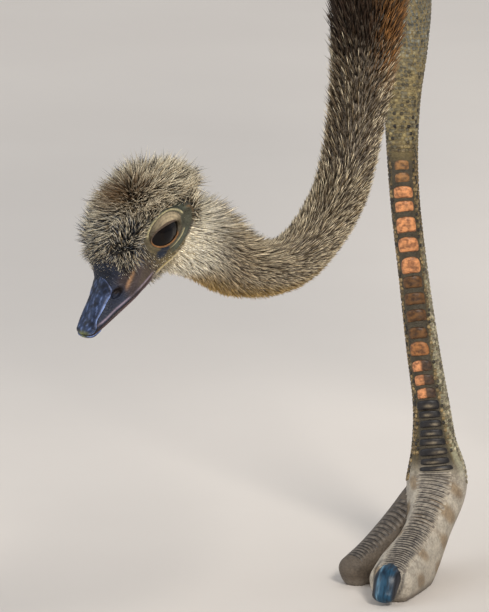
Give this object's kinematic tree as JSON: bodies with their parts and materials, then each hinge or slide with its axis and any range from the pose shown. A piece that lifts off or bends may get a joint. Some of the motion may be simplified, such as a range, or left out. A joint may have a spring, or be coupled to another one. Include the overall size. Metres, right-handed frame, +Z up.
{
  "type": "common ostrich hen, feeding stance",
  "caption": "Life-size standing hen ostrich with her long neck curved down and her head held low in front, one foot set back.",
  "frame": {"origin": "on the floor, under the middle of the bird's box", "axes": "-Y the way the bird faces, +X her left, +Z up"},
  "size_m": [0.555, 1.3572, 1.2812],
  "materials": {
    "body_plumage": "soft dull grey-brown feathers with paler edges",
    "wing_plumes": "loose dull brown plumes, off-white at the tips",
    "neck_bristles": "short stiff hair-like feathers, dark at the root and straw at the tip",
    "bare_skin": "matt wrinkled grey-pink skin",
    "leg_scales": "low-sheen scaly skin, olive-grey with brown and orange plates in front",
    "claw_horn": "worn dark blue-grey horn",
    "bill_horn": "smooth blue-black horn, yellowish at the tip",
    "wet_eye": "wet, near black"
  },
  "bodies": {
    "root": {"trunk": "body_plumage", "wing_right": "wing_plumes", "wing_left": "wing_plumes", "tail": "wing_plumes", "neck_base": "body_plumage", "neck_upper": "body_plumage", "neck_middle": "neck_bristles", "neck_bend": "neck_bristles", "neck_nape": "neck_bristles", "head": "neck_bristles", "bill_upper": "bill_horn", "bill_lower": "bill_horn", "eye_right": "wet_eye", "eye_left": "wet_eye", "ear_right": "bare_skin", "ear_left": "bare_skin", "thigh_right": "bare_skin", "thigh_left": "bare_skin", "shin_right": "bare_skin", "shin_left": "bare_skin", "tarsus_right": "leg_scales", "tarsus_left": "leg_scales", "toe_inner_right": "leg_scales", "toe_inner_left": "leg_scales", "toe_outer_right": "leg_scales", "toe_outer_left": "leg_scales", "claw_right": "claw_horn", "claw_left": "claw_horn"}
  },
  "joints": []
}
